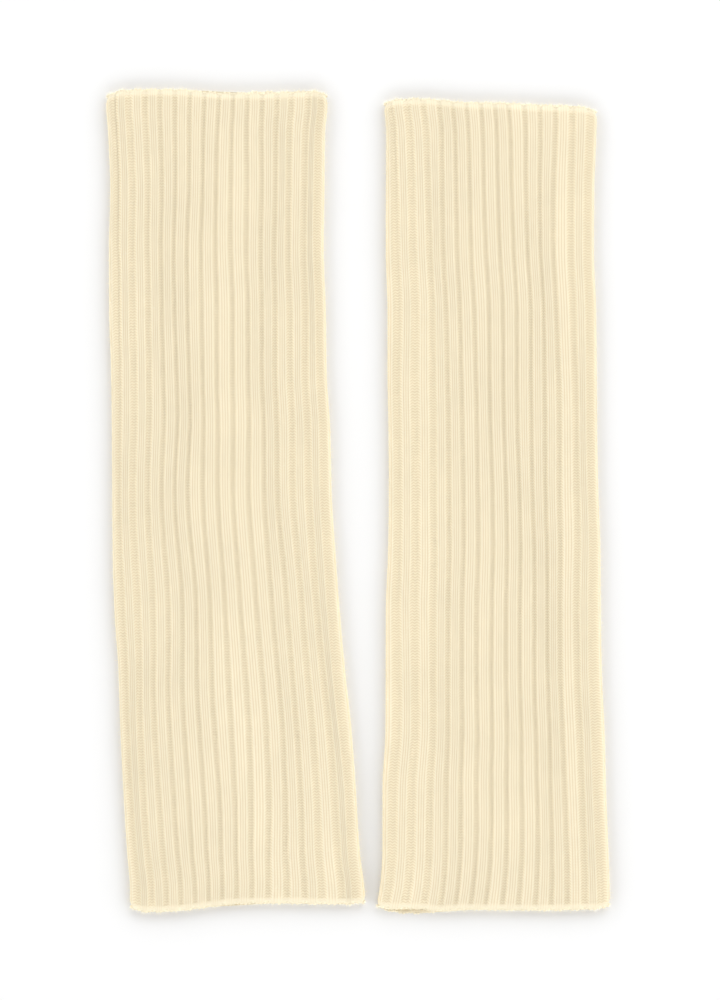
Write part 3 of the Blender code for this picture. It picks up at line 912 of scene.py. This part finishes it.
def chainPiece(leg, end, tree, yarn):
    # a ring of points round one end of the tube, one for each wale
    last = lastValleyWale(leg)
    course = edgeCourse if end == "top" else knit["courses"] - edgeCourse
    frontWales = np.arange(0.5, last, 1.0)
    backWales = np.arange(last + 0.5, walesRound, 1.0)
    front, _ = frontSurface(leg, frontWales, np.full((1, len(frontWales)), course))
    back, outward = backSurface(leg, backWales, np.full((1, len(backWales)), course))
    front, back, outward = front[0], back[0], outward[0]
    frontTall, underTall = bareTop - slotTop - 0.1 * mm, bareBottom + 0.9 * mm
    front[:, 2] = slotTop + 0.5 * frontTall
    turned = (1 + outward[:, 2]) / 2
    back[:, 2] = 0.5 * underTall * (1 - turned) + (slotTop + 0.5 * frontTall) * turned
    points = np.concatenate([front, back])
    tall = np.concatenate([np.full(len(front), frontTall), underTall * (1 - turned) + frontTall * turned])
    along = np.roll(points, -1, axis=0) - np.roll(points, 1, axis=0)
    along /= np.linalg.norm(along, axis=1)[:, None]
    mesh = bpy.data.meshes.new("ring")
    mesh.from_pydata(points.tolist(), [], [])
    addField(mesh, "along", along)
    addField(mesh, "tall", tall)
    piece = newPiece(leg["side"] + end.capitalize() + "Edge", mesh)
    return bakeTree(piece, tree, {**chainStitch, "seed": 5 if end == "top" else 6, "yarn": yarn})


# One loose fibre, and how many of them are strewn
fibre = {
    "length": 1.5 * mm,
    "lengthSpread": 0.45,
    "widthShare": 0.045,
    "bend": 0.35,
}
fuzz = {
    "frontStand": 0.6,
    "foldStand": 2.2,
    "foldReach": 0.9,
    "endStand": 0.3,
    "endPull": 2.5,
    "lowestRoot": 1.2 * mm,
    "frontEachCourse": 20,
    "foldEachCourse": 8,
    "endCount": 800,
}


def fibreTree():
    # short bent fibres that stand out of the yarn
    tree, given, result = newTree("fibreFuzz", "GeometryNodeTree", {
        "Geometry": "Geometry", "length": "Float", "lengthSpread": "Float", "widthShare": "Float",
        "bend": "Float", "seed": "Int", "yarn": "Material",
    }, {"Geometry": "Geometry"})
    strip = addNode(tree, "GeometryNodeMeshGrid", None,
                    {"Size X": 1.0, "Size Y": 1.0, "Vertices X": 4, "Vertices Y": 2})
    here = addNode(tree, "GeometryNodeInputPosition").outputs[0]
    place = addNode(tree, "ShaderNodeSeparateXYZ", None, {0: here}).outputs
    along = calc(tree, "ADD", place["X"], 0.5)
    squared = calc(tree, "MULTIPLY", along, along)
    width = calc(tree, "MULTIPLY", calc(tree, "MULTIPLY_ADD", along, -0.6, 1.0), given["widthShare"])
    aside = calc(tree, "MULTIPLY_ADD", place["Y"], width, calc(tree, "MULTIPLY", squared, -0.2))
    bent = vectorOf(tree, along, aside, calc(tree, "MULTIPLY", squared, given["bend"]))
    hair = addNode(tree, "GeometryNodeSetPosition", None,
                   {"Geometry": strip.outputs["Mesh"], "Position": bent})
    roll = addNode(tree, "FunctionNodeRandomValue", {"data_type": "FLOAT"},
                   {"Min": 0.0, "Max": math.tau, "Seed": given["seed"]})
    spread = chance(tree, given["lengthSpread"], calc(tree, "ADD", given["seed"], 7.0))
    placed = addNode(tree, "GeometryNodeInstanceOnPoints", None, {
        "Points": given["Geometry"], "Instance": hair.outputs[0],
        "Rotation": turnedAlong(tree, (1.0, 0.0, 0.0), roll.outputs[1]),
        "Scale": calc(tree, "MULTIPLY", given["length"], spread)})
    fields = {"rib": 1.0, "lift": 1.0, "edge": 1.0}
    tree.links.new(dressed(tree, placed.outputs[0], given["yarn"], fields), result["Geometry"])
    return tree


def fuzzPiece(leg, tree, yarn):
    # roots strewn over the front, more of them round the side folds and along the ends
    dice = np.random.default_rng(11 if leg["side"] == "left" else 12)
    last, courses = lastValleyWale(leg), knit["courses"]
    # a row holds the surface, the wales, the course, a pull to one side and how upright the fibres are
    strewn = []
    for row in range(courses):
        course = row + 0.5
        across = dice.uniform(0, last, fuzz["frontEachCourse"])
        strewn.append((frontSurface, across, course, (0, 0, 0), fuzz["frontStand"]))
        for tip in foldTips(leg):
            around = dice.uniform(tip - fuzz["foldReach"], tip + fuzz["foldReach"], fuzz["foldEachCourse"])
            strewn.append((backSurface, around, course, (0, 0, 0), fuzz["foldStand"]))
    for course, way in ((edgeCourse, 1.0), (courses - edgeCourse, -1.0)):
        for surface, low, high in ((frontSurface, 0, last), (backSurface, last, walesRound)):
            across = dice.uniform(low, high, fuzz["endCount"])
            strewn.append((surface, across, course, (0, fuzz["endPull"] * way, 0), fuzz["endStand"]))
    roots, ways = [], []
    for surface, wales, course, pull, stand in strewn:
        found, outward = surface(leg, wales, np.full((1, len(wales)), course))
        roots.append(found[0] + outward[0] * reliefAt(wales, course)[:, None])
        way = dice.normal(0, 1, (len(wales), 3)) * (1, 1, 0.4) + outward[0] * stand + pull
        ways.append(way)
    roots, ways = np.concatenate(roots), np.concatenate(ways)
    ways[:, 2] = np.abs(ways[:, 2])
    ways /= np.linalg.norm(ways, axis=1)[:, None]
    # none grow under the tube, where it lies on the floor
    high = roots[:, 2] > fuzz["lowestRoot"]
    mesh = bpy.data.meshes.new("roots")
    mesh.from_pydata(roots[high].tolist(), [], [])
    addField(mesh, "along", ways[high])
    piece = newPiece(leg["side"] + "Fuzz", mesh)
    return bakeTree(piece, tree, {**fibre, "seed": 21, "yarn": yarn})


studio = {
    "floorHalf": 3.0,
    "floorColour": (0.85, 0.85, 0.85, 1.0),
    "skyAll": 0.25,
    "skyRing": 2.15,
    "ringSines": (0.02, 0.27, 0.46, 0.82),
    "keyPower": 15.0,
    "keySize": 1.6,
    "keyPlace": (1.1, 1.7, 2.4),
    "lensMillimetres": 100.0,
    "pixelMetres": 0.515 * mm,
    "pictureRows": 1000,
    "aim": (0.85 * mm, 0.88 * mm),
    "sensorMillimetres": 36.0,
}


def buildStudio():
    floorMesh = bpy.data.meshes.new("floor")
    half = studio["floorHalf"]
    corners = [(-half, -half, 0), (half, -half, 0), (half, half, 0), (-half, half, 0)]
    floorMesh.from_pydata(corners, [], [(0, 1, 2, 3)])
    floor = newPiece("floor", floorMesh)
    paper = bpy.data.materials.new("paleFloor")
    paper.use_nodes = True
    shader = paper.node_tree.nodes["Principled BSDF"]
    shader.inputs["Base Color"].default_value = studio["floorColour"]
    shader.inputs["Roughness"].default_value = 0.9
    shader.inputs["Specular IOR Level"].default_value = 0.0
    floorMesh.materials.append(paper)

    # a white tent, brightest in a ring of panels at middle heights
    world = bpy.data.worlds.new("softSky")
    world.use_nodes = True
    tree = world.node_tree
    background = tree.nodes["Background"]
    background.inputs["Color"].default_value = (1.0, 1.0, 1.0, 1.0)
    direction = addNode(tree, "ShaderNodeTexCoord").outputs["Generated"]
    level = addNode(tree, "ShaderNodeSeparateXYZ", None, {0: direction}).outputs["Z"]
    foot, low, high, head = studio["ringSines"]
    ring = calc(tree, "MULTIPLY", stepBetween(tree, level, foot, low),
                stepBetween(tree, level, high, head, 1.0, 0.0))
    strength = calc(tree, "MULTIPLY_ADD", ring, studio["skyRing"], studio["skyAll"])
    tree.links.new(strength, background.inputs["Strength"])
    bpy.context.scene.world = world

    light = bpy.data.lights.new("keyLight", "AREA")
    light.shape = "DISK"
    light.size = studio["keySize"]
    light.energy = studio["keyPower"]
    lamp = bpy.data.objects.new("keyLight", light)
    lamp.location = studio["keyPlace"]
    lamp.rotation_euler = (-Vector(studio["keyPlace"])).to_track_quat("-Z", "Y").to_euler()
    bpy.context.scene.collection.objects.link(lamp)

    camera = bpy.data.objects.new("camera", bpy.data.cameras.new("camera"))
    camera.data.lens = studio["lensMillimetres"]
    camera.data.sensor_width = studio["sensorMillimetres"]
    camera.data.clip_start = 0.01
    span = studio["pixelMetres"] * studio["pictureRows"]
    away = span * studio["lensMillimetres"] / studio["sensorMillimetres"]
    camera.location = (studio["aim"][0], studio["aim"][1], away + bareTop + knit["ribHeight"])
    bpy.context.scene.collection.objects.link(camera)
    bpy.context.scene.camera = camera
    bpy.context.scene.view_settings.view_transform = "Standard"
    bpy.context.scene.view_settings.look = "None"


buildStudio()
print("studio ready")

toneGroup = woolToneGroup()
yarn = woolMaterial("creamRibYarn", toneGroup, yarnLook)
reliefTree = ribReliefTree()
edgeTree = chainTree()
hairTree = fibreTree()
hair = woolMaterial("creamFuzz", toneGroup, fuzzLook)

for leg in legWarmers:
    front = frontPiece(leg, reliefTree, yarn)
    back = backPiece(leg, reliefTree, yarn)
    edges = [chainPiece(leg, end, edgeTree, yarn) for end in ("top", "bottom")]
    haze = fuzzPiece(leg, hairTree, hair)
    for piece in (front, back, *edges, haze):
        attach(piece, "root")
    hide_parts(leg["side"] + "_leg_warmer")
    # the cut with its ribs spread flat: from the first valley to the last, and the rest of the round
    print(leg["side"], "leg warmer:", len(front.data.polygons), "+", len(back.data.polygons), "faces")
